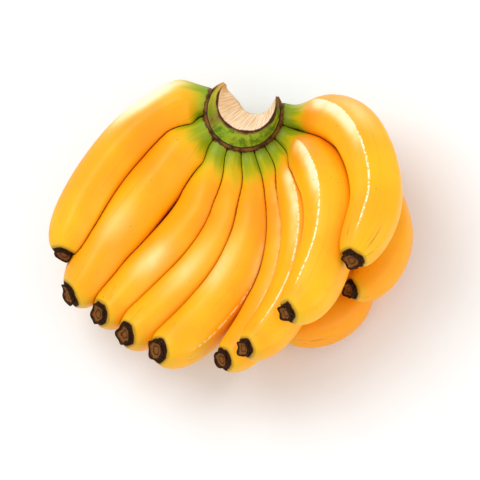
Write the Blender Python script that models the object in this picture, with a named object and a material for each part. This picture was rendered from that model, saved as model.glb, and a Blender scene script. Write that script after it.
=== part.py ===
"""A hand of bananas, cut from its stalk and laid on the backs of its fingers.

Lengths in the tables are millimetres in the hand's own frame: x to the right, y away from the tips, z out
of the cut face, with the origin at the middle of the crown. The whole hand is then turned so that it rests
on three fingers.
"""

import math
from collections import namedtuple

import bpy
import numpy as np

MM = 0.001
# Free space between two pieces.
GAP = 0.9

# The crown: a C of stem round the place where the stalk was.
WALL_RADIUS = 27.5
CROWN_TILT = math.radians(6.0)
CROWN_START = math.radians(124.0)
CROWN_END = math.radians(384.5)
LIP, LIP_LOW, LIP_HIGH = 2.4, 4.2, 7.4
LIP_WIDTH, LIP_STEP, LIP_ROUND = (0.8, 2.4), 1.6, 0.8
RIDGE_RADIUS, RIDGE_HEIGHT = 21.0, 15.0
RIDGE_SHIFT = (2.0, 5.5)
RIDGE_HALF, RIDGE_STEP = 0.8, 0.2
# The bore has its own centre, and widens towards the left horn.
BORE_CENTRE = (9.0, 12.5)
BORE_RADIUS, BORE_FLARE = 14.5, 9.0
BORE_START, FLARE_END, BORE_END = math.radians(160.0), math.radians(201.0), math.radians(358.0)
FACE_DROP = 6.0
CROWN_BASE, CROWN_LEDGE, LEDGE_DROP = -28.0, 1.5, 6.0
# How far the base is rounded off: at the wall, and at the bore in two steps.
WALL_FOOT, BORE_FOOT, BORE_RISE = 4.0, (2.5, -0.5), 5.0
# The C narrows to two horns, about a point at these distances and this height.
HORN_RADIUS, HORN_HEIGHT = (25.0, 27.5), 8.5
HORN_END, HORN_RATE = 0.50, 2.4
FACE_SAG, SHOULDER_SWELL = 1.5, 0.8
CROWN_STEPS = 30

# The fingers' necks come out of the crown's wall in two rows, at these heights.
ROW_HEIGHTS = (-5.5, -18.5)

# Radius along a finger, as parts of its length.
TAPER_START, STUB_START = 0.76, 0.980
TAPER_BEND, TAPER_ROUND = 2.6, 0.60
TIP_RADIUS, STUB_RADIUS = 8.0, 6.7
RIDGE_DEPTH, RIDGE_CREST = 0.034, 0.2
RIDGE_FACES = (-0.35, 0.0, 0.94)
CURL_PULL = 1.25

# Two fingers press on each other where their middle lines come within this part of their two girths.
PRESS_REACH = 0.56
PRESS_HALVINGS, LEAST_LENGTH = 16, 0.8

SIDES = 15
STATIONS = 25
SPINE_SAMPLES = 121

# spoke: degrees round the crown. row: 0 near, 1 far. The finger's middle line passes through shoulder and
# belly and ends at tip, pointing along curl. neck: the share of its length where it is full. girth and stem:
# its diameter when full and at the crown. stub: the size of its tip and dry stub, as a part of the usual one.
Finger = namedtuple("Finger", "spoke row shoulder belly tip curl neck girth stem stub")
FINGERS = (
    Finger(163, 0, (-74, -10, -8), (-112, -54, -12), (-136, -108, 0), (-0.3, -0.86, 0.41), 0.11, 37, 18, 1.0),
    Finger(204, 0, (-64, -51, -4), (-99, -96, -8), (-133, -137, 4), (-0.88, -0.34, 0.34), 0.15, 41, 18, 1.15),
    Finger(234, 0, (-32, -75, 4), (-71, -119, 0), (-110, -150, 20), (-0.76, -0.06, 0.65), 0.26, 38, 15, 1.0),
    Finger(255, 0, (-11, -85, 14), (-48, -135.5, 12), (-90, -165, 36), (-0.74, -0.06, 0.67), 0.28, 38, 14, 1.0),
    Finger(276, 0, (9, -87, 24), (-20.5, -144.5, 28), (-66, -176, 52), (-0.7, 0.02, 0.71), 0.29, 39, 13.4, 1.0),
    Finger(293, 0, (32, -81, 34), (20, -141, 40), (-18, -183, 60), (-0.78, -0.14, 0.61), 0.3, 34, 13.2, 0.92),
    Finger(310, 0, (44, -74, 50), (36, -133, 64), (-2, -174, 86), (-0.72, -0.16, 0.67), 0.3, 34, 13.2, 0.78),
    Finger(331, 0, (60, -53, 62), (59, -106, 86), (28, -148, 108), (-0.76, -0.24, 0.6), 0.29, 39, 13.8, 0.8),
    Finger(357, 0, (78, -12, 52), (96, -62, 92), (76, -111, 114), (-0.42, -0.66, 0.62), 0.27, 37, 15.6, 0.95),
    Finger(338, 1, (80, -34, 12), (107, -91, 42), (75, -132, 60), (-0.78, -0.15, 0.61), 0.31, 35, 13.2, 0.8),
    Finger(313, 1, (60, -67, -7), (78, -137, 20), (26, -160, 38), (-0.92, 0.05, 0.38), 0.31, 36, 13.2, 0.85),
    Finger(290, 1, (34, -89, -4), (31, -140, 5), (0, -170, 14), (-0.84, -0.1, 0.53), 0.31, 33, 13.2, 0.9),
    Finger(268, 1, (4, -91, -14), (-14, -140, -9), (-46, -165, -2), (-0.84, -0.1, 0.53), 0.31, 34, 13.2, 0.9),
    Finger(246, 1, (-23, -81, -25), (-50, -125, -23), (-80, -150, -17), (-0.84, -0.1, 0.53), 0.31, 35, 14, 0.9),
    Finger(192, 1, (-50, -57, -42), (-83, -102, -33), (-104, -138, -12), (-0.7, -0.3, 0.65), 0.31, 35, 15, 0.9),
)

# The three fingers that the hand rests on, how far their skin gives, and where the hand stands.
RESTS_ON = (14, 10, 12)
REST_GIVE = 1.2
PLACE = (-10.51, -86.64)

CROWN_GREEN = (0.15, 0.30, 0.02, 1.0)
SKIN_YELLOW = (0.95, 0.50, 0.02, 1.0)


def unit(vectors):
    return vectors / np.linalg.norm(vectors, axis=-1, keepdims=True)


def leaned(points):
    """Points about the crown's own axis, which leans back by CROWN_TILT about x, in the hand's frame."""
    lean, rise = math.cos(CROWN_TILT), math.sin(CROWN_TILT)
    x, y, z = np.moveaxis(points, -1, 0)
    return np.stack([x, y * lean + z * rise, z * lean - y * rise], axis=-1)


def from_crown(radius, angle, height):
    """A point at a radius, angle and height about the crown's own axis, in the hand's frame."""
    x, y = radius * np.cos(angle), radius * np.sin(angle)
    return leaned(np.stack(np.broadcast_arrays(x, y, height), axis=-1))


def to_crown(points):
    """The reverse of from_crown: distance from the crown's axis, and height along it."""
    lean, rise = math.cos(CROWN_TILT), math.sin(CROWN_TILT)
    y = points[..., 1] * lean - points[..., 2] * rise
    z = points[..., 1] * rise + points[..., 2] * lean
    return np.hypot(points[..., 0], y), z


def spine_of(finger):
    """The finger's middle line at equal steps of its length, and its length: three cubic pieces, through root,
    shoulder, belly and tip."""
    angle = math.radians(finger.spoke)
    root = from_crown(WALL_RADIUS + GAP, angle, ROW_HEIGHTS[finger.row])
    outward = from_crown(1.0, angle, 0.0)
    knots = np.array([root, finger.shoulder, finger.belly, finger.tip], float)
    first, last = np.linalg.norm(knots[1] - knots[0]), CURL_PULL * np.linalg.norm(knots[3] - knots[2])
    slopes = np.array([
        outward * first,
        (knots[2] - knots[0]) / 2,
        (knots[3] - knots[1]) / 2,
        unit(np.array(finger.curl)) * last,
    ])
    t = np.linspace(0, 1, 81)[:, None]
    pieces = [
        (2 * t**3 - 3 * t**2 + 1) * knots[i]
        + (t**3 - 2 * t**2 + t) * slopes[i]
        + (3 * t**2 - 2 * t**3) * knots[i + 1]
        + (t**3 - t**2) * slopes[i + 1]
        for i in range(3)
    ]
    line = np.concatenate([pieces[0], pieces[1][1:], pieces[2][1:]])
    along = np.concatenate([[0], np.cumsum(np.linalg.norm(np.diff(line, axis=0), axis=1))])
    even = np.linspace(0, along[-1], SPINE_SAMPLES)
    return np.stack([np.interp(even, along, line[:, k]) for k in range(3)], axis=1), along[-1]


def radius_at(share, finger):
    """Radius where a share of the length is behind: neck, full body, taper to the tip, then the dry stub."""
    body = finger.girth / 2
    root = finger.stem / 2
    x = np.clip(share / finger.neck, 0, 1)
    radius = root + (body - root) * x * x * (3 - 2 * x)
    x = np.clip((share - TAPER_START) / (STUB_START - TAPER_START), 0, 1)
    tip = TIP_RADIUS * finger.stub
    radius = np.where(x > 0, tip + (body - tip) * (1 - x**TAPER_BEND) ** TAPER_ROUND, radius)
    return np.where(share > STUB_START, STUB_RADIUS * finger.stub, radius)


SPINES = [spine_of(finger) for finger in FINGERS]


def frames_at(index, share):
    """Points of the middle line with their tangent, side and back directions. The finger bends in one plane."""
    line, _ = SPINES[index]
    at = np.linspace(0, 1, SPINE_SAMPLES)
    steps = np.gradient(line, axis=0)
    centre = np.stack([np.interp(share, at, line[:, k]) for k in range(3)], axis=1)
    tangent = unit(np.stack([np.interp(share, at, steps[:, k]) for k in range(3)], axis=1))
    half = line[SPINE_SAMPLES // 2]
    across = unit(np.cross(half - line[0], line[-1] - line[0]))
    side = unit(across - (tangent @ across)[:, None] * tangent)
    return centre, tangent, side, np.cross(tangent, side)


def facing_angle(index):
    """The angle round a finger that faces the open side of the hand, where one ridge lies."""
    _, _, side, back = frames_at(index, np.array([0.5]))
    return math.atan2(back[0] @ RIDGE_FACES, side[0] @ RIDGE_FACES)


def nearest(index, points):
    """Distance from each point to a finger's middle line, and that finger's radius there."""
    line, _ = SPINES[index]
    flat = points.reshape(-1, 3)
    apart = ((flat[:, None] - line[None]) ** 2).sum(axis=2)
    best = apart.argmin(axis=1)
    lower = np.clip(best - 1, 0, SPINE_SAMPLES - 3)
    found = np.full(len(flat), np.inf)
    share = np.zeros(len(flat))
    for k in range(2):
        a, b = line[lower + k], line[lower + k + 1]
        t = np.clip(((flat - a) * (b - a)).sum(1) / ((b - a) ** 2).sum(1), 0, 1)
        distance = np.linalg.norm(flat - a - t[:, None] * (b - a), axis=1)
        closer = distance < found
        found = np.where(closer, distance, found)
        share = np.where(closer, (lower + k + t) / (SPINE_SAMPLES - 1), share)
    radius = radius_at(share, FINGERS[index])
    return found.reshape(points.shape[:-1]), radius.reshape(points.shape[:-1])


def pressed(index, centre, direction, reach, own):
    """Shortens each ray so that it stops half a gap before the surface lying evenly between two fingers."""
    others = []
    for other, (line, _) in enumerate(SPINES):
        apart = np.linalg.norm(line[:, None] - SPINES[index][0][None], axis=2).min()
        if other != index and apart < (FINGERS[index].girth + FINGERS[other].girth) * PRESS_REACH:
            others.append(other)

    def clear(length):
        points = centre + direction * length[..., None]
        fits = np.ones(length.shape, bool)
        for other in others:
            distance, radius = nearest(other, points)
            margin = GAP / 2 * (1 / own + 1 / radius)
            fits &= length / own - distance / radius <= -margin
        return fits

    low, high = np.full(reach.shape, LEAST_LENGTH), reach.copy()
    free = clear(high)
    for _ in range(PRESS_HALVINGS):
        middle = (low + high) / 2
        fits = clear(middle)
        low, high = np.where(fits, middle, low), np.where(fits, high, middle)
    return np.where(free, reach, low)


def finger_grid(index, share, sides):
    """The finger's skin: rings round its middle line with five soft ridges, pressed against its neighbours."""
    finger = FINGERS[index]
    centre, _, side, back = frames_at(index, share)
    lean = facing_angle(index)
    turn = np.linspace(lean, lean + 2 * math.pi, sides, endpoint=False)
    direction = np.cos(turn)[:, None] * side[:, None] + np.sin(turn)[:, None] * back[:, None]
    body = radius_at(share, finger)[:, None]
    fade = np.clip(share / finger.neck, 0, 1)[:, None]
    ridges = 1 + RIDGE_DEPTH * fade * (np.cos(5 * (turn - lean)) + RIDGE_CREST * np.cos(10 * (turn - lean)))
    own = np.broadcast_to(body, (len(share), sides))
    length = pressed(index, centre[:, None], direction, own * ridges, own)
    points = centre[:, None] + direction * length[..., None]
    # The root ring lies on a cylinder just outside the crown's wall.
    outward = from_crown(1.0, math.radians(finger.spoke), 0.0)
    for _ in range(4):
        distance, _height = to_crown(points[0])
        points[0] += (WALL_RADIUS + GAP - distance)[:, None] * outward
    return points


def crown_outlines(angles):
    """The crown's outline at each angle, as knots of x, y and height about its own axis. The wall and the ridge
    lie along the angle, and the inner side lies round the bore's centre. Near a horn it shrinks to a point."""
    share = (angles - CROWN_START) / (CROWN_END - CROWN_START)
    turn = BORE_START + (BORE_END - BORE_START) * share
    flare = np.clip((FLARE_END - turn) / (FLARE_END - BORE_START), 0, 1) ** 1.5
    spoke = np.stack([np.cos(angles), np.sin(angles)], axis=1)
    inward = np.stack([np.cos(turn), np.sin(turn)], axis=1)
    bore = BORE_RADIUS + BORE_FLARE * flare
    ridge = RIDGE_RADIUS + RIDGE_SHIFT[0] * np.cos(angles) + RIDGE_SHIFT[1] * np.sin(angles)

    def knot(start, direction, reach, height):
        flat = np.array(start) + direction * np.broadcast_to(reach, angles.shape)[:, None]
        return np.concatenate([flat, np.full((len(angles), 1), height)], axis=1)

    axis = (0.0, 0.0)
    low, high = RIDGE_HEIGHT - FACE_DROP, RIDGE_HEIGHT
    rim = knot(axis, spoke, ridge - RIDGE_HALF, high - RIDGE_STEP)
    edge = knot(BORE_CENTRE, inward, bore, low)
    inside = (rim + edge) / 2
    inside[:, 2] = (low + high) / 2 - FACE_SAG
    shoulder = (WALL_RADIUS + ridge) / 2 + SHOULDER_SWELL
    lip_width = LIP_WIDTH[0] + (LIP_WIDTH[1] - LIP_WIDTH[0]) * share
    knots = np.stack([
        knot(BORE_CENTRE, inward, bore + BORE_FOOT[0], CROWN_BASE),
        knot(BORE_CENTRE, inward, bore + BORE_FOOT[1], CROWN_BASE + BORE_RISE),
        knot(BORE_CENTRE, inward, bore - CROWN_LEDGE, low - LEDGE_DROP),
        edge,
        inside,
        rim,
        knot(axis, spoke, ridge + RIDGE_HALF, high),
        knot(axis, spoke, shoulder, (LIP_HIGH + high) / 2 + 2 * SHOULDER_SWELL),
        knot(axis, spoke, WALL_RADIUS - lip_width, LIP_HIGH + LIP_STEP),
        knot(axis, spoke, WALL_RADIUS + LIP * LIP_ROUND, LIP_HIGH),
        knot(axis, spoke, WALL_RADIUS + LIP, LIP_LOW + LIP_ROUND),
        knot(axis, spoke, WALL_RADIUS, LIP_LOW),
        knot(axis, spoke, WALL_RADIUS, CROWN_BASE + WALL_FOOT),
        knot(axis, spoke, WALL_RADIUS - WALL_FOOT, CROWN_BASE),
    ], axis=1)
    horn_radius = HORN_RADIUS[0] + (HORN_RADIUS[1] - HORN_RADIUS[0]) * share
    horn = knot(axis, spoke, horn_radius, HORN_HEIGHT)[:, None]
    near = np.minimum(angles - CROWN_START, CROWN_END - angles)
    taper = np.sin(np.minimum(math.pi / 2, near * HORN_RATE + HORN_END))
    return horn + (knots - horn) * taper[:, None, None]


def crown_grid():
    """Rings of the crown from horn to horn, in the order that turns their faces outwards."""
    return leaned(crown_outlines(np.linspace(CROWN_START, CROWN_END, CROWN_STEPS)))


def rest_turn():
    """Rows of the turn that lays the three rest fingers on one level plane, found from their middle lines."""
    share = np.linspace(0, 1, SPINE_SAMPLES)
    tubes = [(SPINES[i][0], radius_at(share, FINGERS[i])) for i in RESTS_ON]
    up = np.array([0.0, 0.0, 1.0])
    for _ in range(60):
        low = []
        for line, radius in tubes:
            lowest = (line @ up - radius).argmin()
            low.append(line[lowest] - up * radius[lowest])
        normal = unit(np.cross(low[1] - low[0], low[2] - low[0]))
        up = unit(up + 0.5 * (normal if normal @ up > 0 else -normal))
    right = unit(np.array([1.0, 0.0, 0.0]) - up[0] * up)
    floor = min((line @ up - radius).min() for line, radius in tubes)
    return np.array([right, np.cross(up, right), up]), floor


TURN, FLOOR = rest_turn()


def settled(points):
    """Turns the hand to its rest, in metres. What would sink below the surface it rests on is pressed flat."""
    world = points @ TURN.T - np.array([*PLACE, FLOOR + REST_GIVE])
    world[..., 2] = np.maximum(world[..., 2], 0)
    return world * MM


def solid(name, rings, colour, roughness):
    """One closed mesh from rings of points, with a fan of triangles over each end."""
    count, sides = rings.shape[:2]
    ends = np.array([rings[0].mean(axis=0), rings[-1].mean(axis=0)])
    points = settled(np.concatenate([rings.reshape(-1, 3), ends]))
    faces = []
    for ring in range(count - 1):
        for k in range(sides):
            a, b = ring * sides + k, ring * sides + (k + 1) % sides
            faces += [(a, b, b + sides), (a, b + sides, a + sides)]
    last = (count - 1) * sides
    for k in range(sides):
        faces.append((count * sides, (k + 1) % sides, k))
        faces.append((count * sides + 1, last + k, last + (k + 1) % sides))
    mesh = bpy.data.meshes.new(name)
    mesh.from_pydata(points.tolist(), [], faces)
    mesh.shade_smooth()
    material = bpy.data.materials.new(name)
    material.use_nodes = True
    shader = material.node_tree.nodes["Principled BSDF"]
    shader.inputs["Base Color"].default_value = colour
    shader.inputs["Roughness"].default_value = roughness
    mesh.materials.append(material)
    made = bpy.data.objects.new(name, mesh)
    bpy.context.scene.collection.objects.link(made)
    return made


def finger_stations():
    """Ring places along a finger: close together at the neck and the tip, with a step down to the stub."""
    body = (1 - np.cos(np.linspace(0, math.pi, STATIONS))) / 2
    body = 0.5 * body + 0.5 * np.linspace(0, 1, STATIONS)
    return np.concatenate([body * STUB_START, [STUB_START + 0.004, 1.0]])


for leftover in list(bpy.data.objects):
    bpy.data.objects.remove(leftover)

solid("crown", crown_grid(), CROWN_GREEN, 0.6)
for number in range(len(FINGERS)):
    name = f"banana_{number + 1:02d}"
    solid(name, finger_grid(number, finger_stations(), SIDES), SKIN_YELLOW, 0.45)
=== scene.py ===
"""A hand of ripe bananas, lying on the backs of its fruit on a pale studio floor."""

import math
from collections import namedtuple

import bpy
import numpy as np
from mathutils import Matrix, Vector


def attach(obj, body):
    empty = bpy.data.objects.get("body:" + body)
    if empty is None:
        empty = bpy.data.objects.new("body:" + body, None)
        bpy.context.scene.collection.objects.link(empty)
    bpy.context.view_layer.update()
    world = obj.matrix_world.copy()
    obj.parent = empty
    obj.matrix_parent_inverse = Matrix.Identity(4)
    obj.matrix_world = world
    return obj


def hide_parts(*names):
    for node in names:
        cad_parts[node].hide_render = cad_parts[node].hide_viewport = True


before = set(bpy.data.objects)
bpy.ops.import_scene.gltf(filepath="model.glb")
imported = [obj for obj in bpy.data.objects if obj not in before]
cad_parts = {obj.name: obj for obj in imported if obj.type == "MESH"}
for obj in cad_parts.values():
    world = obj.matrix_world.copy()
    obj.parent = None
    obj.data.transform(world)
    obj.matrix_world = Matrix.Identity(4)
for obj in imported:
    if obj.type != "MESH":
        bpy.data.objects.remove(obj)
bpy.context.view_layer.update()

# How the hand lies
# Fifteen fruit leave the crown along spokes in two rows, and all turn their tips the same way. Three of the
# far row set the plane that the hand lies on. Millimetres, in the hand's own frame: x right, y away from
# the tips, z up out of the cut face, from the middle of the crown.
MM = 0.001
WALL_RADIUS = 27.5
CROWN_TILT = math.radians(6.0)
ROW_HEIGHTS = (-5.5, -18.5)
CAD_GAP = 0.9
CURL_PULL = 1.25
SPINE_SAMPLES = 121
REST_GIVE = 1.2
RESTS_ON = (14, 10, 12)
PLACE = (-10.51, -86.64)

Finger = namedtuple("Finger", "spoke row shoulder belly tip curl neck girth stem stub tone")
FINGERS = tuple(Finger(*row) for row in (
    (163, 0, (-74, -10, -8), (-112, -54, -12), (-136, -108, 0), (-0.3, -0.86, 0.41), 0.11, 37, 18, 1.0, 0.1),
    (204, 0, (-64, -51, -4), (-99, -96, -8), (-133, -137, 4), (-0.88, -0.34, 0.34), 0.15, 41, 18, 1.15, 0.2),
    (234, 0, (-32, -75, 4), (-71, -119, 0), (-110, -150, 20), (-0.76, -0.06, 0.65), 0.26, 38, 15, 1.0, 0.2),
    (255, 0, (-11, -85, 14), (-48, -135.5, 12), (-90, -165, 36), (-0.74, -0.06, 0.67), 0.28, 38, 14, 1.0, 0.3),
    (276, 0, (9, -87, 24), (-20.5, -144.5, 28), (-66, -176, 52), (-0.7, 0.02, 0.71), 0.29, 39, 13.4, 1.0, 0.2),
    (293, 0, (32, -81, 34), (20, -141, 40), (-18, -183, 60), (-0.78, -0.14, 0.61), 0.3, 34, 13.2, 0.92, 0.3),
    (310, 0, (44, -74, 50), (36, -133, 64), (-2, -174, 86), (-0.72, -0.16, 0.67), 0.3, 34, 13.2, 0.78, 0.3),
    (331, 0, (60, -53, 62), (59, -106, 86), (28, -148, 108), (-0.76, -0.24, 0.6), 0.29, 39, 13.8, 0.8, 0.2),
    (357, 0, (78, -12, 52), (96, -62, 92), (76, -111, 114), (-0.42, -0.66, 0.62), 0.27, 37, 15.6, 0.95, 0.1),
    (338, 1, (80, -34, 12), (107, -91, 42), (75, -132, 60), (-0.78, -0.15, 0.61), 0.31, 35, 13.2, 0.8, 0.6),
    (313, 1, (60, -67, -7), (78, -137, 20), (26, -160, 38), (-0.92, 0.05, 0.38), 0.31, 36, 13.2, 0.85, 0.9),
    (290, 1, (34, -89, -4), (31, -140, 5), (0, -170, 14), (-0.84, -0.1, 0.53), 0.31, 33, 13.2, 0.9, 0.5),
    (268, 1, (4, -91, -14), (-14, -140, -9), (-46, -165, -2), (-0.84, -0.1, 0.53), 0.31, 34, 13.2, 0.9, 0.6),
    (246, 1, (-23, -81, -25), (-50, -125, -23), (-80, -150, -17), (-0.84, -0.1, 0.53), 0.31, 35, 14, 0.9, 0.5),
    (192, 1, (-50, -57, -42), (-83, -102, -33), (-104, -138, -12), (-0.7, -0.3, 0.65), 0.31, 35, 15, 0.9, 0.6),
))

# Radius along a fruit, at shares of its length.
TAPER_START, STUB_START = 0.76, 0.980
TAPER_BEND, TAPER_ROUND = 2.6, 0.60
TIP_RADIUS, STUB_RADIUS = 8.0, 6.7

# Samples of one cubic piece of a middle line. Rounds in which the hand is levelled, and the pull of each.
CURVE_SAMPLES = 81
LEVEL_ROUNDS, LEVEL_PULL = 60, 0.5


def unit(vectors):
    """Each vector divided by its length."""
    return vectors / np.linalg.norm(vectors, axis=-1, keepdims=True)


def leaned(points):
    """Points about the crown's own axis, which leans back by CROWN_TILT about x, in the hand's frame."""
    lean, rise = math.cos(CROWN_TILT), math.sin(CROWN_TILT)
    x, y, z = np.moveaxis(points, -1, 0)
    return np.stack([x, y * lean + z * rise, z * lean - y * rise], axis=-1)


def from_crown(radius, angle, height):
    """A point at a radius, angle and height about the crown's own axis, in the hand's frame."""
    x, y = radius * np.cos(angle), radius * np.sin(angle)
    return leaned(np.stack(np.broadcast_arrays(x, y, height), axis=-1))


def spine_of(finger):
    """Middle line of a fruit at even steps: three cubic Hermite pieces through root, shoulder, belly and tip.
    It leaves along the spoke, has the chord of its neighbours as slope at each inner point, and ends along
    the curl."""
    angle = math.radians(finger.spoke)
    root = from_crown(WALL_RADIUS + CAD_GAP, angle, ROW_HEIGHTS[finger.row])
    outward = from_crown(1.0, angle, 0.0)
    knots = np.array([root, finger.shoulder, finger.belly, finger.tip], float)
    first, last = np.linalg.norm(knots[1] - knots[0]), CURL_PULL * np.linalg.norm(knots[3] - knots[2])
    slopes = np.array([
        outward * first,
        (knots[2] - knots[0]) / 2,
        (knots[3] - knots[1]) / 2,
        unit(np.array(finger.curl)) * last,
    ])
    t = np.linspace(0, 1, CURVE_SAMPLES)[:, None]
    pieces = [
        (2 * t**3 - 3 * t**2 + 1) * knots[i]
        + (t**3 - 2 * t**2 + t) * slopes[i]
        + (3 * t**2 - 2 * t**3) * knots[i + 1]
        + (t**3 - t**2) * slopes[i + 1]
        for i in range(3)
    ]
    line = np.concatenate([pieces[0], pieces[1][1:], pieces[2][1:]])
    along = np.concatenate([[0], np.cumsum(np.linalg.norm(np.diff(line, axis=0), axis=1))])
    even = np.linspace(0, along[-1], SPINE_SAMPLES)
    return np.stack([np.interp(even, along, line[:, k]) for k in range(3)], axis=1)


def radius_at(share, finger):
    """Radius at a share of the length: a smooth step from neck to body, a rounded taper to the tip, and then
    the stub."""
    body = finger.girth / 2
    root = finger.stem / 2
    x = np.clip(share / finger.neck, 0, 1)
    radius = root + (body - root) * x * x * (3 - 2 * x)
    x = np.clip((share - TAPER_START) / (STUB_START - TAPER_START), 0, 1)
    tip = TIP_RADIUS * finger.stub
    radius = np.where(x > 0, tip + (body - tip) * (1 - x**TAPER_BEND) ** TAPER_ROUND, radius)
    return np.where(share > STUB_START, STUB_RADIUS * finger.stub, radius)


SPINES = [spine_of(finger) for finger in FINGERS]


def rest_turn():
    """Rows of the turn that makes the lowest points of the three rest fruit level, found by turning the up
    direction towards the normal of their plane until it stays, and the height of that plane."""
    share = np.linspace(0, 1, SPINE_SAMPLES)
    tubes = [(SPINES[i], radius_at(share, FINGERS[i])) for i in RESTS_ON]
    up = np.array([0.0, 0.0, 1.0])
    for _ in range(LEVEL_ROUNDS):
        low = []
        for line, radius in tubes:
            lowest = (line @ up - radius).argmin()
            low.append(line[lowest] - up * radius[lowest])
        normal = unit(np.cross(low[1] - low[0], low[2] - low[0]))
        up = unit(up + LEVEL_PULL * (normal if normal @ up > 0 else -normal))
    right = unit(np.array([1.0, 0.0, 0.0]) - up[0] * up)
    floor = min((line @ up - radius).min() for line, radius in tubes)
    return np.array([right, np.cross(up, right), up]), floor


TURN, FLOOR = rest_turn()


def settled(points):
    """Points of the hand's frame turned to its rest and put in metres, with what would sink pressed flat."""
    world = points @ TURN.T - np.array([*PLACE, FLOOR + REST_GIVE])
    world[..., 2] = np.maximum(world[..., 2], 0)
    return world * MM


# Camera and studio
# The camera looks straight into the hand's own frame, from 2.4 m with a long lens, so the fruit keep their
# proportions. The floor is a wide pale sheet. Light comes from a large softbox at the upper left, a weaker
# one at the right, and a bright even surround.
CAMERA_DISTANCE = 2400.0
AIM = np.array([-3.0, -95.0, 0.0])
FRAME_WIDTH = 360.0
SENSOR = 36.0
NEAREST_SEEN, FARTHEST_SEEN = 0.1, 20.0
SURROUND_COLOUR, SURROUND_STRENGTH = (1.0, 0.995, 0.985, 1.0), 0.79
LIGHTS_AIM = (0.0, 0.0, 0.05)
FLOOR_HALF, FLOOR_COLOUR, FLOOR_ROUGHNESS = 3.0, (0.91, 0.94, 0.965, 1.0), 0.9

scene = bpy.context.scene
scene.view_settings.view_transform = "Standard"
camera = bpy.data.objects.new("camera", bpy.data.cameras.new("camera"))
camera.data.sensor_width = SENSOR
camera.data.lens = SENSOR * CAMERA_DISTANCE / FRAME_WIDTH
camera.data.clip_start, camera.data.clip_end = NEAREST_SEEN, FARTHEST_SEEN
eye = (AIM + np.array([0, 0, CAMERA_DISTANCE])) @ TURN.T - np.array([*PLACE, FLOOR + REST_GIVE])
camera.matrix_world = Matrix.Translation(Vector(eye * MM)) @ Matrix(TURN.tolist()).to_4x4()
scene.collection.objects.link(camera)
scene.camera = camera

world = bpy.data.worlds.new("surround")
world.use_nodes = True
world.node_tree.nodes["Background"].inputs["Color"].default_value = SURROUND_COLOUR
world.node_tree.nodes["Background"].inputs["Strength"].default_value = SURROUND_STRENGTH
scene.world = world


def softbox(name, where, size, power, colour):
    """A square area light at a point of the hand's frame, in millimetres, facing the middle of the hand."""
    light = bpy.data.lights.new(name, "AREA")
    light.size, light.energy, light.color = size, power, colour
    lamp = bpy.data.objects.new(name, light)
    place = Vector((np.array(where) @ TURN.T - np.array([*PLACE, FLOOR])) * MM)
    lamp.location = place
    lamp.rotation_euler = (Vector(LIGHTS_AIM) - place).to_track_quat("-Z", "Y").to_euler()
    scene.collection.objects.link(lamp)


softbox("key", (-620, 520, 900), 0.8, 6.4, (1.0, 0.98, 0.96))
softbox("side", (650, -300, 700), 0.6, 2.0, (1.0, 0.98, 0.95))

floor_mesh = bpy.data.meshes.new("floor")
corners = [(x * FLOOR_HALF, y * FLOOR_HALF, 0) for x, y in ((-1, -1), (1, -1), (1, 1), (-1, 1))]
floor_mesh.from_pydata(corners, [], [(0, 1, 2, 3)])
floor = bpy.data.objects.new("floor", floor_mesh)
floor_paint = bpy.data.materials.new("floor_paint")
floor_paint.use_nodes = True
floor_paint.node_tree.nodes["Principled BSDF"].inputs["Base Color"].default_value = FLOOR_COLOUR
floor_paint.node_tree.nodes["Principled BSDF"].inputs["Roughness"].default_value = FLOOR_ROUGHNESS
floor_mesh.materials.append(floor_paint)
scene.collection.objects.link(floor)


# The crown
# The piece of stem that every neck grows from, cut from the stalk with a knife. It is a C with a dark ridge, a
# pale fibrous cut face that slopes inwards from the ridge, green skin outside, and a brown lip over the necks.
CROWN_START, CROWN_END = math.radians(124.0), math.radians(384.5)
LIP, LIP_LOW, LIP_HIGH = 2.4, 4.2, 7.4
LIP_WIDTH, LIP_STEP, LIP_ROUND = (0.8, 2.4), 1.6, 0.8
RIDGE_RADIUS, RIDGE_HEIGHT = 21.0, 15.0
RIDGE_SHIFT = (2.0, 5.5)
RIDGE_HALF, RIDGE_STEP = 0.8, 0.2
# The bore has its own centre, and widens towards the left horn.
BORE_CENTRE = (9.0, 12.5)
BORE_RADIUS, BORE_FLARE = 14.5, 9.0
BORE_START, FLARE_END, BORE_END = math.radians(160.0), math.radians(201.0), math.radians(358.0)
FACE_DROP = 6.0
CROWN_BASE, CROWN_LEDGE, LEDGE_DROP = -28.0, 1.5, 6.0
# How far the base is rounded off: at the wall, and at the bore in two steps.
WALL_FOOT, BORE_FOOT, BORE_RISE = 4.0, (2.5, -0.5), 5.0
# The C narrows to two horns, about a point at these distances and this height.
HORN_RADIUS, HORN_HEIGHT = (25.0, 27.5), 8.5
HORN_END, HORN_RATE = 0.50, 2.4
FACE_SAG, SHOULDER_SWELL = 1.2, 0.9
CROWN_STEPS, OUTLINE_STEPS = 420, 13
# Where the face, the lip and the ridge lie, in knots along the outline: middle, half width and sharpness.
FACE_SPAN, LIP_SPAN, RIDGE_SPAN = (3.7, 1.75, 8), (9.35, 1.08, 6), (5.7, 0.60, 2)
# Height of the skin's low bumps and of the face's fibres, and how many fibres of each size a full turn has.
SKIN_SWELL, FIBRE_SWELL, FIBRE_COUNTS = 0.30, 0.14, (90, 131, 173, 227)
CROWN_SEED = 7
CUT_CREAM = (0.97, 0.83, 0.60, 1.0)
CUT_TAN = (0.66, 0.34, 0.11, 1.0)
STEM_GREEN = (0.27, 0.41, 0.016, 1.0)
STEM_DARK = (0.095, 0.20, 0.010, 1.0)
STEM_OLIVE = (0.50, 0.40, 0.02, 1.0)
LIP_BROWN = (0.21, 0.092, 0.022, 1.0)
EDGE_DARK = (0.045, 0.019, 0.006, 1.0)
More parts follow.
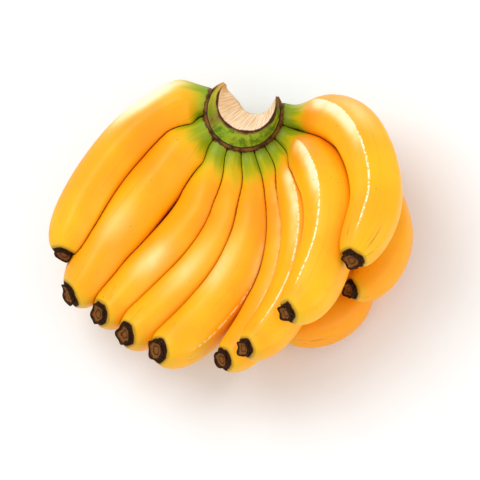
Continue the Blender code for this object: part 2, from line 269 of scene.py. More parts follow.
# Scale of the streaks and the cut fibres, round the crown and along its outline, and of the skin's patches.
STREAK_SCALE, FIBRE_SCALE, STEM_PATCH_SCALE = (46.0, 1.6, 1.0), (210.0, 6.0, 1.0), 150.0
STEM_ROUGHNESS, CUT_ROUGHNESS, STEM_SPECULAR = 0.5, 0.85, 0.15
# Skin of stem and peel: its pores, and the bump that they and the relief make, in metres.
PORE_SCALE, PORE_HEIGHT, BUMP_STRENGTH, BUMP_DEPTH = 1500.0, 0.22, 0.4, 0.0005


def node(tree, kind, inputs=None, **settings):
    """A shader node with its settings made and its inputs set. A socket is linked, a value is written."""
    made = tree.nodes.new(kind)
    for key, value in settings.items():
        setattr(made, key, value)
    for key, value in (inputs or {}).items():
        if isinstance(value, bpy.types.NodeSocket):
            tree.links.new(value, made.inputs[key])
        else:
            made.inputs[key].default_value = value
    return made


def mixed(tree, factor, first, second):
    """Colour that goes from first to second as factor goes from 0 to 1."""
    return node(tree, "ShaderNodeMix", {0: factor, 6: first, 7: second}, data_type="RGBA").outputs[2]


def maths(tree, operation, *values):
    """One arithmetic step, held between 0 and 1."""
    made = node(tree, "ShaderNodeMath", dict(enumerate(values)), operation=operation, use_clamp=True)
    return made.outputs[0]


def product(tree, first, *others):
    """The product of numbers from 0 to 1."""
    for other in others:
        first = maths(tree, "MULTIPLY", first, other)
    return first


def ranged(tree, value, low, high, to_low=0.0, to_high=1.0):
    """A smooth step of value from to_low at low to to_high at high."""
    inputs = {"Value": value, "From Min": low, "From Max": high, "To Min": to_low, "To Max": to_high}
    return node(tree, "ShaderNodeMapRange", inputs, interpolation_type="SMOOTHSTEP").outputs["Result"]


def attribute(tree, name):
    """A number that the mesh holds at each point."""
    return node(tree, "ShaderNodeAttribute", attribute_name=name).outputs["Fac"]


def noise(tree, vector, scale, detail=3.0, roughness=0.5):
    """Cloudy noise from 0 to 1, read at vector."""
    inputs = {"Vector": vector, "Scale": scale, "Detail": detail, "Roughness": roughness}
    return node(tree, "ShaderNodeTexNoise", inputs).outputs["Fac"]


def plant_skin():
    """Shader group for skin that grew: soft patches, and a normal from fine pores over the relief it is
    given."""
    tree = bpy.data.node_groups.new("plant_skin", "ShaderNodeTree")
    for name, way, kind in (
        ("Place", "INPUT", "NodeSocketVector"),
        ("Patch Scale", "INPUT", "NodeSocketFloat"),
        ("Relief", "INPUT", "NodeSocketFloat"),
        ("Patches", "OUTPUT", "NodeSocketFloat"),
        ("Normal", "OUTPUT", "NodeSocketVector"),
    ):
        tree.interface.new_socket(name, in_out=way, socket_type=kind)
    given, out = tree.nodes.new("NodeGroupInput").outputs, tree.nodes.new("NodeGroupOutput").inputs
    tree.links.new(noise(tree, given["Place"], given["Patch Scale"], 4.0, 0.6), out["Patches"])
    pores = maths(tree, "MULTIPLY", noise(tree, given["Place"], PORE_SCALE, 3.0, 0.6), PORE_HEIGHT)
    height = maths(tree, "ADD", pores, given["Relief"])
    inputs = {"Height": height, "Strength": BUMP_STRENGTH, "Distance": BUMP_DEPTH}
    bump = node(tree, "ShaderNodeBump", inputs)
    tree.links.new(bump.outputs["Normal"], out["Normal"])
    return tree


PLANT_SKIN = plant_skin()


def plant_skin_at(tree, place, scale, relief):
    """Patches and normal of the plant skin group, at a place, with patches of a scale and over a relief."""
    made = node(tree, "ShaderNodeGroup", node_tree=PLANT_SKIN)
    for key, value in (("Place", place), ("Relief", relief)):
        tree.links.new(value, made.inputs[key])
    made.inputs["Patch Scale"].default_value = scale
    return made.outputs["Patches"], made.outputs["Normal"]


def material(name):
    """A new material, with its tree and its Principled shader."""
    made = bpy.data.materials.new(name)
    made.use_nodes = True
    return made, made.node_tree, made.node_tree.nodes["Principled BSDF"]


def mesh_piece(name, grid, first_pole, last_pole, numbers, surface):
    """A closed mesh from a grid of points, rings by sides, with a fan to a pole at each end. numbers holds
    the values of each point attribute on the grid, a number or a vector. A pole takes its ring's mean."""
    rings, sides = grid.shape[:2]
    points = np.concatenate([grid.reshape(-1, 3), first_pole[None], last_pole[None]])
    corner = np.arange((rings - 1) * sides).reshape(rings - 1, sides)
    beside = np.roll(corner, -1, axis=1)
    quads = np.stack([corner, beside, beside + sides, corner + sides], axis=-1).reshape(-1, 4)
    ring = np.arange(sides)
    after = np.roll(ring, -1)
    top = (rings - 1) * sides
    first = np.stack([np.full(sides, rings * sides), after, ring], axis=1)
    last = np.stack([np.full(sides, rings * sides + 1), top + ring, top + after], axis=1)
    mesh = bpy.data.meshes.new(name)
    mesh.from_pydata(points.tolist(), [], quads.tolist() + first.tolist() + last.tolist())
    mesh.shade_smooth()
    for key, values in numbers.items():
        wide = values.ndim == 3
        values = values if wide else np.broadcast_to(values, (rings, sides))[..., None]
        held = np.concatenate([values.reshape(rings * sides, -1), values[:1].mean(1), values[-1:].mean(1)])
        kind, member = ("FLOAT_VECTOR", "vector") if wide else ("FLOAT", "value")
        mesh.attributes.new(key, kind, "POINT").data.foreach_set(member, held.astype(np.float32).ravel())
    mesh.materials.append(surface)
    piece = bpy.data.objects.new(name, mesh)
    scene.collection.objects.link(piece)
    return piece


def crown_outlines(angles):
    """The crown's outline at each angle, as knots of x, y and height about its own axis. Wall and ridge lie
    along the angle, and the inner side lies round the bore's centre. Near a horn it shrinks to a point."""
    share = (angles - CROWN_START) / (CROWN_END - CROWN_START)
    turn = BORE_START + (BORE_END - BORE_START) * share
    flare = np.clip((FLARE_END - turn) / (FLARE_END - BORE_START), 0, 1) ** 1.5
    spoke = np.stack([np.cos(angles), np.sin(angles)], axis=1)
    inward = np.stack([np.cos(turn), np.sin(turn)], axis=1)
    bore = BORE_RADIUS + BORE_FLARE * flare
    ridge = RIDGE_RADIUS + RIDGE_SHIFT[0] * np.cos(angles) + RIDGE_SHIFT[1] * np.sin(angles)

    def knot(start, direction, reach, height):
        flat = np.array(start) + direction * np.broadcast_to(reach, angles.shape)[:, None]
        return np.concatenate([flat, np.full((len(angles), 1), height)], axis=1)

    axis = (0.0, 0.0)
    low, high = RIDGE_HEIGHT - FACE_DROP, RIDGE_HEIGHT
    rim = knot(axis, spoke, ridge - RIDGE_HALF, high - RIDGE_STEP)
    edge = knot(BORE_CENTRE, inward, bore, low)
    inside = (rim + edge) / 2
    inside[:, 2] = (low + high) / 2 - FACE_SAG
    shoulder = (WALL_RADIUS + ridge) / 2 + SHOULDER_SWELL
    lip_width = LIP_WIDTH[0] + (LIP_WIDTH[1] - LIP_WIDTH[0]) * share
    knots = np.stack([
        knot(BORE_CENTRE, inward, bore + BORE_FOOT[0], CROWN_BASE),
        knot(BORE_CENTRE, inward, bore + BORE_FOOT[1], CROWN_BASE + BORE_RISE),
        knot(BORE_CENTRE, inward, bore - CROWN_LEDGE, low - LEDGE_DROP),
        edge,
        inside,
        rim,
        knot(axis, spoke, ridge + RIDGE_HALF, high),
        knot(axis, spoke, shoulder, (LIP_HIGH + high) / 2 + 2 * SHOULDER_SWELL),
        knot(axis, spoke, WALL_RADIUS - lip_width, LIP_HIGH + LIP_STEP),
        knot(axis, spoke, WALL_RADIUS + LIP * LIP_ROUND, LIP_HIGH),
        knot(axis, spoke, WALL_RADIUS + LIP, LIP_LOW + LIP_ROUND),
        knot(axis, spoke, WALL_RADIUS, LIP_LOW),
        knot(axis, spoke, WALL_RADIUS, CROWN_BASE + WALL_FOOT),
        knot(axis, spoke, WALL_RADIUS - WALL_FOOT, CROWN_BASE),
    ], axis=1)
    horn_radius = HORN_RADIUS[0] + (HORN_RADIUS[1] - HORN_RADIUS[0]) * share
    horn = knot(axis, spoke, horn_radius, HORN_HEIGHT)[:, None]
    near = np.minimum(angles - CROWN_START, CROWN_END - angles)
    taper = np.sin(np.minimum(math.pi / 2, near * HORN_RATE + HORN_END))
    return horn + (knots - horn) * taper[:, None, None]


def smooth_loops(knots, steps):
    """A closed curve near each loop of knots: between two knots it blends the cubic B-spline, which rounds
    corners, half and half with the straight side, which keeps them. Also gives each point's knot number."""
    before, after, next_after = (np.roll(knots, shift, axis=1) for shift in (1, -1, -2))
    t = (np.arange(steps) / steps)[None, None, :, None]
    k0, k1, k2, k3 = (k[:, :, None] for k in (before, knots, after, next_after))
    from_first, to_second = 3 * t**3 - 6 * t**2 + 4, -3 * t**3 + 3 * t**2 + 3 * t + 1
    spline = ((1 - t) ** 3 * k0 + from_first * k1 + to_second * k2 + t**3 * k3) / 6
    straight = k1 + (k2 - k1) * t
    curve = 0.5 * spline + 0.5 * straight
    where = np.arange(knots.shape[1])[:, None] + np.arange(steps)[None] / steps
    return curve.reshape(len(knots), -1, 3), where.ravel()


rng = np.random.default_rng(CROWN_SEED)
angles = np.linspace(CROWN_START, CROWN_END, CROWN_STEPS)
knots = crown_outlines(angles)
loops, where = smooth_loops(knots, OUTLINE_STEPS)
# Low bumps in the skin and fine cuts across the face, both as sums of waves with seeded phases.
phases = rng.uniform(0, 2 * math.pi, (6,))
skin_wave = sum(np.cos((4 + 3 * k) * angles[:, None] + 0.9 * where[None] + phases[k]) for k in range(6)) / 6
on_face, on_lip, on_ridge = (
    np.exp(-(((where - middle) / half) ** power))[None]
    for middle, half, power in (FACE_SPAN, LIP_SPAN, RIDGE_SPAN)
)
fibre = sum(
    np.cos(count * angles[:, None] + 1.7 * where[None] * (1 + k % 2) + phases[k])
    for k, count in enumerate(FIBRE_COUNTS)
) / len(FIBRE_COUNTS)
swell = SKIN_SWELL * skin_wave * (1 - on_face) + FIBRE_SWELL * fibre * on_face
centre = loops.mean(axis=1, keepdims=True)
loops = loops + unit(loops - centre) * swell[..., None]
crown_grid = leaned(loops)

stem, tree, shader = material("stem_skin_and_cut")
place = node(tree, "ShaderNodeTexCoord").outputs["Object"]
face, lip, ridge, sweep, loop = (attribute(tree, name) for name in ("face", "lip", "ridge", "sweep", "loop"))
# Streaks and fibres run across the outline. sweep is 0.34 turns at the left horn and 1.07 at the right one.
streak_at = node(tree, "ShaderNodeCombineXYZ", {"X": sweep, "Y": loop}).outputs[0]
stretch = node(tree, "ShaderNodeMapping", {"Vector": streak_at, "Scale": STREAK_SCALE}).outputs[0]
streaks = noise(tree, stretch, 1.0, 4.0, 0.6)
cut_at = node(tree, "ShaderNodeMapping", {"Vector": streak_at, "Scale": FIBRE_SCALE}).outputs[0]
fibres = noise(tree, cut_at, 1.0, 5.0, 0.65)
grain = maths(tree, "ADD", maths(tree, "MULTIPLY", fibres, face), maths(tree, "MULTIPLY", streaks, 0.6))
patches, normal = plant_skin_at(tree, place, STEM_PATCH_SCALE, grain)
# Green skin with olive streaks, yellower towards the left horn, with one brown bruise.
green = mixed(tree, ranged(tree, patches, 0.40, 0.60), STEM_DARK, STEM_GREEN)
green = mixed(tree, ranged(tree, streaks, 0.48, 0.72, 0.0, 0.5), green, STEM_OLIVE)
green = mixed(tree, ranged(tree, sweep, 0.36, 0.58, 0.85, 0.0), green, STEM_OLIVE)
bruise = product(
    tree,
    ranged(tree, sweep, 0.44, 0.52),
    ranged(tree, sweep, 0.52, 0.62, 1.0, 0.0),
    ranged(tree, patches, 0.40, 0.60),
)
green = mixed(tree, bruise, green, LIP_BROWN)
# Cream cut face with tan fibres.
cut = mixed(tree, ranged(tree, fibres, 0.44, 0.62), CUT_CREAM, CUT_TAN)
cut = mixed(tree, ranged(tree, sweep, 0.42, 0.70, 0.45, 0.0), cut, CUT_TAN)
# Brown lip with a dark edge of uneven width.
brown = mixed(tree, ranged(tree, patches, 0.35, 0.6), EDGE_DARK, LIP_BROWN)
uneven = maths(tree, "ADD", lip, ranged(tree, streaks, 0.3, 0.7, -0.12, 0.12))
colour = mixed(tree, ranged(tree, uneven, 0.25, 0.5), green, EDGE_DARK)
colour = mixed(tree, ranged(tree, uneven, 0.72, 0.95), colour, brown)
colour = mixed(tree, ranged(tree, face, 0.35, 0.6), colour, cut)
# Torn ridge, brown and then dark, and the two horns, tan and brown.
torn = maths(tree, "ADD", ridge, ranged(tree, patches, 0.35, 0.65, -0.15, 0.20))
# Painted shade: the dark of the ridge widens towards the right horn.
torn = maths(tree, "ADD", torn, ranged(tree, sweep, 0.84, 0.98, 0.0, 0.30))
colour = mixed(tree, ranged(tree, torn, 0.45, 0.70), colour, LIP_BROWN)
colour = mixed(tree, ranged(tree, torn, 0.70, 0.95), colour, EDGE_DARK)
colour = mixed(tree, ranged(tree, sweep, 0.350, 0.405, 0.8, 0.0), colour, CUT_TAN)
colour = mixed(tree, ranged(tree, sweep, 1.010, 1.045, 0.0, 0.9), colour, LIP_BROWN)
tree.links.new(colour, shader.inputs["Base Color"])
tree.links.new(ranged(tree, face, 0.3, 0.6, STEM_ROUGHNESS, CUT_ROUGHNESS), shader.inputs["Roughness"])
tree.links.new(normal, shader.inputs["Normal"])
shader.inputs["Specular IOR Level"].default_value = STEM_SPECULAR

numbers = {
    "face": on_face,
    "lip": on_lip,
    "ridge": on_ridge,
    "sweep": (angles / (2 * math.pi))[:, None],
    "loop": (where / knots.shape[1])[None],
}
crown_points = settled(crown_grid)
crown = mesh_piece(
    "crown_stem", crown_points, crown_points[0].mean(0), crown_points[-1].mean(0), numbers, stem
)
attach(crown, "root")
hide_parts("crown")

# The bananas
# Each fruit is one closed skin: a green neck that grows from the crown, a body with five soft ridges, a
# rounded end and the dry stub of the flower. Where two fruit touch, both are pressed flat on the surface that
# lies between them.
SIDES, BODY_RINGS, CAP_RINGS = 90, 250, 9
RING_CROWDING = 0.025
STUB_RINGS = (0.0008, 0.0018, 0.0040, 0.0075, 0.0115, 0.0155, 0.0190)
CAP_SHRINK = (0.96, 0.12)
# Pressing: its own grid; the share of two girths within which fruit are neighbours; the range in which the
# share of radius kept is sought, and in how many halvings; and how near to pressed counts as close.
PRESS_RINGS, PRESS_SIDES = 110, 54
PRESS_REACH, PRESS_RANGE, PRESS_HALVINGS, CLOSE_REACH = 0.56, (0.05, 1.30), 12, 0.20
SKIN_GAP = 0.25
# Body: fullness; five ridges, one facing RIDGE_FACES, sharper on fruit with a painted highlight; slow waves.
FULLNESS = 1.012
RIDGE_DEPTH, RIDGE_SHARPNESS, PALE_SHARPNESS = 0.034, 0.10, 0.20
RIDGE_FACES = (-0.35, 0.0, 0.94)
WAVE_DEPTH = 0.010
# Neck: how much it widens at the root and over what share of the length, the depth and number of its coarse
# and fine wrinkles, and how deep its two hidden rings lie in the crown.
ROOT_FLARE, ROOT_REACH = 0.30, 0.035
COARSE_WRINKLES, FINE_WRINKLES = (0.012, 13), (0.006, 31)
ROOT_SUNK, ROOT_DEEPER = 1.5, 3.0
# Stub: the groove round its foot, its widening, the waves that make it ragged, its rim and its dent.
GROOVE_DEPTH, GROOVE_AT, GROOVE_HALF = 0.06, 0.001, 0.002
STUB_FLARE, FLARE_AT, FLARE_LENGTH = 0.08, 0.004, 0.012
STUB_WAVES, STUB_RAGGED = {2: 0.6, 3: 0.7, 4: 0.9, 7: 0.12}, 0.06
RIM_AT, RIM_HEIGHT = 0.997, 0.4
STUB_DENT, DENT_WALL, DENT_ROUND = 2.2, 2.2, 0.8
# Painted light: which ridge of a fruit is pale, counted to the right from the one that faces out, and how
# much; and the soft pale patch on a fruit's back, by its place along the fruit, its half length, how far it
# lies to the right of the ridge that faces out, in radians, and how much.
HIGHLIGHT_RIDGES = {5: (0.8, 0.6), 6: (0, 0.3), 7: (0, 0.62), 8: (0, 0.85), 9: (0.25, 0.95)}
HIGHLIGHT_PATCHES = {
    1: (0.22, 0.16, -0.92, 1.0),
    2: (0.58, 0.14, 0.0, 0.28),
    3: (0.62, 0.14, 0.0, 0.40),
    4: (0.58, 0.17, -0.2, 0.32),
    5: (0.54, 0.15, -0.5, 0.38),
    6: (0.60, 0.15, 0.2, 0.20),
    9: (0.42, 0.10, 0.8, 0.32),
}
PATCH_TURN = 0.5
# Green paint is set out on a neck that fills this share of the length. Each fruit reads its own noise.
GREEN_NECK = 0.27
NOISE_STEP = 2.0
FRUIT_SEED = 100
# The two palest colours are painted highlights.
HIGHLIGHT_CREAM = (1.0, 0.88, 0.62, 1.0)
HIGHLIGHT_PALE = (1.0, 0.74, 0.25, 1.0)
RIPE = (0.99, 0.515, 0.006, 1.0)
GOLD = (0.975, 0.42, 0.004, 1.0)
AMBER = (0.93, 0.28, 0.002, 1.0)
NECK_GREEN = (0.23, 0.36, 0.008, 1.0)
NECK_LIME = (0.62, 0.53, 0.006, 1.0)
SCAR_AND_SHADE = (0.14, 0.045, 0.008, 1.0)
STUB_DARK = (0.018, 0.007, 0.003, 1.0)
STUB_EDGE = (0.060, 0.022, 0.007, 1.0)
STUB_BROWN = (0.23, 0.085, 0.018, 1.0)
# Scales of what follows the skin, twice across a fruit and once along it, and of what fills the space.
STREAKS_SCALE, TONGUES_SCALE, SCRATCHES_SCALE = (9.0, 9.0, 2.2), (1.6, 1.6, 4.0), (10.0, 10.0, 7.0)
CLOUDS_SCALE, MOTTLE_SCALE, SPECKS_SCALE = 17.0, 80.0, 150.0
PEEL_ROUGHNESS, STUB_ROUGHNESS = (0.36, 0.50), 0.8
PEEL_SPECULAR, STUB_SPECULAR = 0.24, 0.08
PEEL_COAT, COAT_ROUGHNESS = 0.08, 0.32


def frames_at(index, share):
    """Points of a fruit's middle line at shares of its length, with the tangent, the side direction, which is
    the normal of the plane that the fruit bends in made square to the tangent, and the back direction."""
    line = SPINES[index]
    at = np.linspace(0, 1, SPINE_SAMPLES)
    steps = np.gradient(line, axis=0)
    centre = np.stack([np.interp(share, at, line[:, k]) for k in range(3)], axis=1)
    tangent = unit(np.stack([np.interp(share, at, steps[:, k]) for k in range(3)], axis=1))
    half = line[SPINE_SAMPLES // 2]
    across = unit(np.cross(half - line[0], line[-1] - line[0]))
    side = unit(across - (tangent @ across)[:, None] * tangent)
    return centre, tangent, side, np.cross(tangent, side)


def nearest(index, points):
    """Distance from each point to a fruit's middle line, over the two pieces at its nearest sample, and the
    fruit's radius there."""
    line = SPINES[index]
    flat = points.reshape(-1, 3)
    apart = (flat**2).sum(1)[:, None] - 2 * flat @ line.T + (line**2).sum(1)[None]
    lower = np.clip(apart.argmin(axis=1) - 1, 0, SPINE_SAMPLES - 3)
    found = np.full(len(flat), np.inf)
    share = np.zeros(len(flat))
    for k in range(2):
        a, b = line[lower + k], line[lower + k + 1]
        t = np.clip(((flat - a) * (b - a)).sum(1) / ((b - a) ** 2).sum(1), 0, 1)
        distance = np.linalg.norm(flat - a - t[:, None] * (b - a), axis=1)
        closer = distance < found
        found = np.where(closer, distance, found)
        share = np.where(closer, (lower + k + t) / (SPINE_SAMPLES - 1), share)
    return found.reshape(points.shape[:-1]), radius_at(share, FINGERS[index]).reshape(points.shape[:-1])


def pressed_share(index, share, turn):
    """How much of its free radius each point keeps, by halving: it must stay half a gap on its own side of
    the surface where the distances to two middle lines, each divided by its fruit's radius, are equal."""
    centre, _, side, back = frames_at(index, share)
    direction = np.cos(turn)[:, None] * side[:, None] + np.sin(turn)[:, None] * back[:, None]
    own = np.broadcast_to(radius_at(share, FINGERS[index])[:, None], direction.shape[:2])
    others = []
    for other, line in enumerate(SPINES):
        apart = np.linalg.norm(line[:, None] - SPINES[index][None], axis=2).min()
        if other != index and apart < (FINGERS[index].girth + FINGERS[other].girth) * PRESS_REACH:
            others.append(other)
    low, high = (np.full(own.shape, limit) for limit in PRESS_RANGE)
    for _ in range(PRESS_HALVINGS):
        middle = (low + high) / 2
        points = centre[:, None] + direction * (middle * own)[..., None]
        fits = np.ones(own.shape, bool)
        for other in others:
            distance, radius = nearest(other, points)
            fits &= middle - distance / radius <= -SKIN_GAP / 2 * (1 / own + 1 / radius)
        low, high = np.where(fits, middle, low), np.where(fits, high, middle)
    return low


def resampled(values, share, turn, to_share, to_turn):
    """A grid of values, closed round its second axis, read at other shares and turns by straight blending."""
    wide = np.concatenate([values, values[:, :1]], axis=1)
    round_turn = np.append(turn, 2 * math.pi)
    rows = np.stack([np.interp(to_turn, round_turn, row) for row in wide])
    return np.stack([np.interp(to_share, share, column) for column in rows.T], axis=1)


def finger_piece(index, surface):
    """The skin of one fruit: rings of radius times ridges, waves and pressing, then the stub's rim and its
    dent, as rings that shrink to a pole. Two rings at the root carry the neck into the crown."""
    finger = FINGERS[index]
    seeded = np.random.default_rng(FRUIT_SEED + index)
    _, _, side, back = frames_at(index, np.array([0.5]))
    lean = math.atan2(back[0] @ RIDGE_FACES, side[0] @ RIDGE_FACES)
    to_left = 1.0 if math.cos(lean) * back[0, 0] - math.sin(lean) * side[0, 0] < 0 else -1.0
    turn = np.linspace(0, 2 * math.pi, SIDES, endpoint=False)
    body = np.linspace(0, 1, BODY_RINGS)
    body = (body - RING_CROWDING * np.sin(4 * math.pi * body)) * STUB_START
    stub = np.array(STUB_RINGS) + STUB_START
    share = np.concatenate([body, stub, np.full(CAP_RINGS, 1.0)])
    shrink = np.concatenate([np.ones(len(body) + len(stub)), np.linspace(*CAP_SHRINK, CAP_RINGS)])
    centre, tangent, side, back = frames_at(index, np.minimum(share, 1))

    press_share = np.linspace(0, 1, PRESS_RINGS)
    press_turn = np.linspace(0, 2 * math.pi, PRESS_SIDES, endpoint=False)
    kept = pressed_share(index, press_share, press_turn)
    kept = resampled(kept, press_share, press_turn, np.minimum(share, 1), turn)

    phase = seeded.uniform(0, 2 * math.pi, 8)
    along = share[:, None]
    fade = np.clip(along / finger.neck, 0, 1)
    # Angle from the ridge with the painted highlight, counted to the left as seen from above.
    highlight_ridge, pale = HIGHLIGHT_RIDGES.get(index + 1, (0, 0.0))
    from_ridge = to_left * (turn - lean) + highlight_ridge * 2 * math.pi / 5
    corner = 5 * from_ridge
    sharpness = RIDGE_SHARPNESS + PALE_SHARPNESS * pale
    ridged = FULLNESS + RIDGE_DEPTH * fade * (np.cos(corner) + sharpness * np.cos(2 * corner))
    waves = sum(np.cos((k % 3 + 1) * turn + (5 + 4 * k) * along + phase[k]) for k in range(5)) / 5
    ridged = ridged + WAVE_DEPTH * waves * fade
    # Neck: it widens where it grows out of the crown, and has fine lengthwise wrinkles.
    ridged = ridged + ROOT_FLARE * np.exp(-((along / ROOT_REACH) ** 2))
    coarse, coarse_count = COARSE_WRINKLES
    fine, fine_count = FINE_WRINKLES
    ridged = ridged + coarse * (1 - fade) ** 2 * np.cos(coarse_count * turn + phase[5])
    ridged = ridged + fine * (1 - fade) * np.cos(fine_count * turn)
    # Stub: blunt corners and a torn rim. The body rolls over into the groove round its foot.
    on_stub = along > STUB_START + STUB_RINGS[0] / 2
    torn = sum(part * np.cos(k * turn + p) for (k, part), p in zip(STUB_WAVES.items(), phase[4:]))
    ridged = ridged * (1 + STUB_RAGGED * on_stub * torn)
    own = radius_at(share, finger)[:, None]
    groove = np.exp(-(((along - STUB_START - GROOVE_AT) / GROOVE_HALF) ** 2))
    own = own * (1 - GROOVE_DEPTH * groove)
    flare = 1 + STUB_FLARE * np.clip((along - STUB_START - FLARE_AT) / FLARE_LENGTH, 0, 1)
    direction = np.cos(turn)[:, None] * side[:, None] + np.sin(turn)[:, None] * back[:, None]
    length = own * np.minimum(ridged, kept) * flare * shrink[:, None]
    points = centre[:, None] + direction * length[..., None]
    on_cap = np.clip(1 - shrink[:, None], 0, 1)
    dent = STUB_DENT * np.clip(on_cap * DENT_WALL, 0, 1) ** DENT_ROUND
    rim = (along >= RIM_AT) * (RIM_HEIGHT * torn * (1 - on_cap) - dent)
    points += tangent[:, None] * rim[..., None]

    outward = from_crown(1.0, math.radians(finger.spoke), 0.0)
    root = points[0] - outward * ((points[0] @ outward) - WALL_RADIUS + ROOT_SUNK)[:, None]
    sunk = root - outward * ROOT_DEEPER
    points = np.concatenate([sunk[None], root[None], points])
    close = np.clip(1 - (kept - ridged) / CLOSE_REACH, 0, 1)

    def two_more(values):
        values = np.broadcast_to(values, (len(share), SIDES))
        return np.concatenate([values[:1], values[:1], values])

    def on_circle(angle, third):
        return np.stack([two_more(part) for part in (np.cos(angle), np.sin(angle), third)], axis=-1)

    patch_at, patch_half, to_right, patch = HIGHLIGHT_PATCHES.get(index + 1, (0.5, 0.2, 0.0, 0.0))
    off_middle = np.angle(np.exp(1j * (to_left * (turn - lean) + to_right)))
    highlight_patch = patch * np.exp(-(((along - patch_at) / patch_half) ** 2) - (off_middle / PATCH_TURN) ** 2)
    numbers = {
        "skin": on_circle(turn, along + NOISE_STEP * index),
        "along": two_more(along),
        "cap": two_more(on_cap),
        "close": two_more(close),
        "crest": on_circle(from_ridge, pale),
        "highlight_patch": two_more(highlight_patch),
        "green": two_more(along * (GREEN_NECK / finger.neck) ** 0.5),
        "tone": np.full((len(share) + 2, SIDES), finger.tone),
    }
    grid = settled(points)
    return mesh_piece(f"fruit_{index + 1:02d}", grid, grid[0].mean(0), grid[-1].mean(0), numbers, surface)


peel, tree, shader = material("banana_peel")
place = node(tree, "ShaderNodeTexCoord").outputs["Object"]
along, cap, close, tone = (attribute(tree, name) for name in ("along", "cap", "close", "tone"))
skin = node(tree, "ShaderNodeAttribute", attribute_name="skin").outputs["Vector"]
# Ripe yellow that drifts to gold in soft clouds, deeper by each fruit's tone, and deeper towards a neighbour
# as painted shade.
clouds = noise(tree, place, CLOUDS_SCALE, 2.0, 0.45)
fibre_at = node(tree, "ShaderNodeMapping", {"Vector": skin, "Scale": STREAKS_SCALE}).outputs[0]
fibre = noise(tree, fibre_at, 1.0, 4.0, 0.6)
ragged = maths(tree, "ADD", along, ranged(tree, noise(tree, place, 150.0, 2.0), 0.3, 0.7, -0.0012, 0.0012))
on_stub = ranged(tree, ragged, STUB_START - 0.0035, STUB_START - 0.0015)
relief = maths(tree, "MULTIPLY", on_stub, noise(tree, place, 420.0, 4.0, 0.7))
relief = maths(tree, "ADD", relief, maths(tree, "MULTIPLY", fibre, 0.5))
mottle, normal = plant_skin_at(tree, place, MOTTLE_SCALE, relief)
colour = mixed(tree, ranged(tree, clouds, 0.36, 0.62), RIPE, GOLD)
colour = mixed(tree, ranged(tree, mottle, 0.48, 0.72, 0.0, 0.45), colour, GOLD)
tone_and_contact_shade = maths(tree, "ADD", maths(tree, "MULTIPLY", tone, 0.55), ranged(tree, close, 0.0, 1.0, 0.0, 0.5))
colour = mixed(tree, tone_and_contact_shade, colour, AMBER)
# Painted shade: deeper orange over the shoulder.
shoulder = product(
    tree,
    ranged(tree, along, 0.10, 0.22),
    ranged(tree, along, 0.28, 0.52, 1.0, 0.0),
    ranged(tree, clouds, 0.3, 0.6, 0.25, 0.60),
)
colour = mixed(tree, shoulder, colour, AMBER)
# Long faint streaks of the peel's own fibres.
colour = mixed(tree, ranged(tree, fibre, 0.54, 0.74, 0.0, 0.35), colour, AMBER)
# Painted highlights: a soft pale patch on the back, and a pale band that ends sharply along one ridge in a
# thin broken line.
highlight_patch = maths(tree, "MULTIPLY", attribute(tree, "highlight_patch"), ranged(tree, mottle, 0.3, 0.7, 0.8, 1.0))
crest = node(tree, "ShaderNodeAttribute", attribute_name="crest").outputs["Vector"]
crest = node(tree, "ShaderNodeSeparateXYZ", {0: crest}).outputs
facing = maths(tree, "MULTIPLY", ranged(tree, crest["X"], 0.0, 0.4), crest["Z"])
band = product(
    tree,
    ranged(tree, crest["Y"], -0.04, 0.02),
    ranged(tree, crest["Y"], 0.04, 0.65, 0.9, 0.0),
    ranged(tree, along, 0.14, 0.30),
    ranged(tree, along, 0.40, 0.66, 1.0, 0.0),
    ranged(tree, noise(tree, place, 45.0, 4.0), 0.30, 0.62, 0.35, 0.9),
)
line = product(
    tree,
    ranged(tree, crest["Y"], -0.05, -0.01),
    ranged(tree, crest["Y"], 0.02, 0.07, 1.0, 0.0),
    ranged(tree, along, 0.20, 0.34),
    ranged(tree, along, 0.82, 0.94, 1.0, 0.0),
    ranged(tree, noise(tree, place, 420.0, 2.0), 0.40, 0.55, 0.15, 0.9),
)
pale = maths(tree, "MULTIPLY", maths(tree, "MAXIMUM", band, line), facing)
pale = maths(tree, "MAXIMUM", pale, highlight_patch)
colour = mixed(tree, ranged(tree, pale, 0.0, 0.5), colour, HIGHLIGHT_PALE)
colour = mixed(tree, ranged(tree, pale, 0.22, 0.80), colour, HIGHLIGHT_CREAM)
# Neck: green at the crown, then lime, in uneven soft tongues.
tongue_at = node(tree, "ShaderNodeMapping", {"Vector": skin, "Scale": TONGUES_SCALE}).outputs[0]
tongues = noise(tree, tongue_at, 1.0, 3.0, 0.55)
reach = maths(tree, "ADD", attribute(tree, "green"), ranged(tree, tongues, 0.3, 0.7, -0.03, 0.04))
colour = mixed(tree, ranged(tree, reach, 0.07, 0.22, 0.92, 0.0), colour, NECK_LIME)
colour = mixed(tree, ranged(tree, reach, 0.02, 0.15, 0.95, 0.0), colour, NECK_GREEN)
# Flower end: a faint green blush and a brown shade round the stub.
colour = mixed(tree, ranged(tree, along, 0.93, 0.975, 0.0, 0.35), colour, NECK_LIME)
colour = mixed(tree, ranged(tree, along, STUB_START - 0.012, STUB_START - 0.003, 0.0, 0.45), colour, SCAR_AND_SHADE)
# Painted shade: a thin brown line in the crease where two fruit meet, dark at the crown and faint farther
# down.
crease_shade = product(tree, ranged(tree, close, 0.85, 0.98), ranged(tree, along, 0.10, 0.42, 0.95, 0.34))
colour = mixed(tree, crease_shade, colour, SCAR_AND_SHADE)
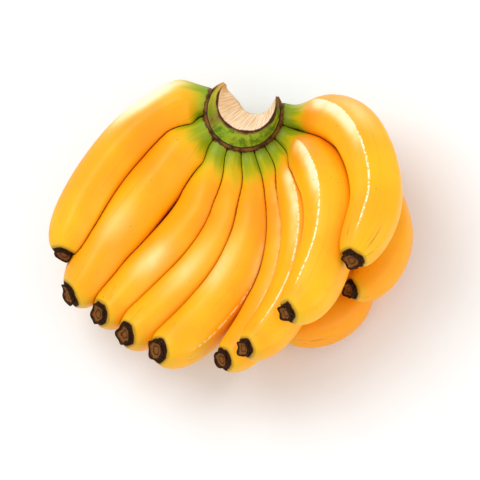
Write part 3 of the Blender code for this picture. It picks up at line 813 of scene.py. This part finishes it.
# Scars: pin specks here and there, short brown scratches, and more of both near the two ends.
near_root, near_tip = ranged(tree, along, 0.10, 0.30, 0.25, 0.0), ranged(tree, along, 0.76, 0.93, 0.0, 0.8)
ends = maths(tree, "ADD", near_root, near_tip)
cells = node(tree, "ShaderNodeTexVoronoi", {"Vector": place, "Scale": SPECKS_SCALE, "Randomness": 1.0})
specks = ranged(tree, cells.outputs["Distance"], 0.04, 0.085, 1.0, 0.0)
where_specks = maths(tree, "ADD", ranged(tree, noise(tree, place, 45.0, 2.0), 0.56, 0.66), ends)
colour = mixed(tree, product(tree, specks, where_specks, 0.75), colour, SCAR_AND_SHADE)
bent = node(tree, "ShaderNodeTexNoise", {"Vector": skin, "Scale": 2.0, "Detail": 2.0}).outputs["Color"]
bent = node(tree, "ShaderNodeMix", {0: 0.25, 4: skin, 5: bent}, data_type="VECTOR").outputs[1]
scratch_at = node(tree, "ShaderNodeMapping", {"Vector": bent, "Scale": SCRATCHES_SCALE}).outputs[0]
scratches = ranged(tree, noise(tree, scratch_at, 1.0, 5.0, 0.65), 0.61, 0.69)
where_scratches = maths(tree, "ADD", maths(tree, "MULTIPLY", ends, 0.6), 0.04)
colour = mixed(tree, maths(tree, "MULTIPLY", scratches, where_scratches), colour, SCAR_AND_SHADE)
# The dry stub: a near black ring, a brown middle with a dark ring in it.
flecks = noise(tree, place, 600.0, 4.0, 0.65)
dry = mixed(tree, ranged(tree, flecks, 0.40, 0.64), STUB_DARK, STUB_EDGE)
rings = maths(tree, "ADD", cap, ranged(tree, noise(tree, place, 240.0, 3.0), 0.3, 0.7, -0.09, 0.09))
dry = mixed(tree, ranged(tree, rings, 0.16, 0.34), dry, STUB_BROWN)
dry = mixed(tree, ranged(tree, rings, 0.46, 0.56, 0.0, 0.7), dry, STUB_DARK)
dry = mixed(tree, ranged(tree, rings, 0.60, 0.76), dry, STUB_BROWN)
colour = mixed(tree, on_stub, colour, dry)
tree.links.new(colour, shader.inputs["Base Color"])
satin = ranged(tree, mottle, 0.3, 0.7, *PEEL_ROUGHNESS)
rough = node(tree, "ShaderNodeMix", {0: on_stub, 2: satin, 3: STUB_ROUGHNESS}, data_type="FLOAT").outputs[0]
tree.links.new(rough, shader.inputs["Roughness"])
tree.links.new(normal, shader.inputs["Normal"])
specular = ranged(tree, on_stub, 0.0, 1.0, PEEL_SPECULAR, STUB_SPECULAR)
tree.links.new(specular, shader.inputs["Specular IOR Level"])
tree.links.new(ranged(tree, on_stub, 0.0, 1.0, PEEL_COAT, 0.0), shader.inputs["Coat Weight"])
shader.inputs["Coat Roughness"].default_value = COAT_ROUGHNESS

for index in range(len(FINGERS)):
    fruit = finger_piece(index, peel)
    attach(fruit, "root")
    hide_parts(f"banana_{index + 1:02d}")
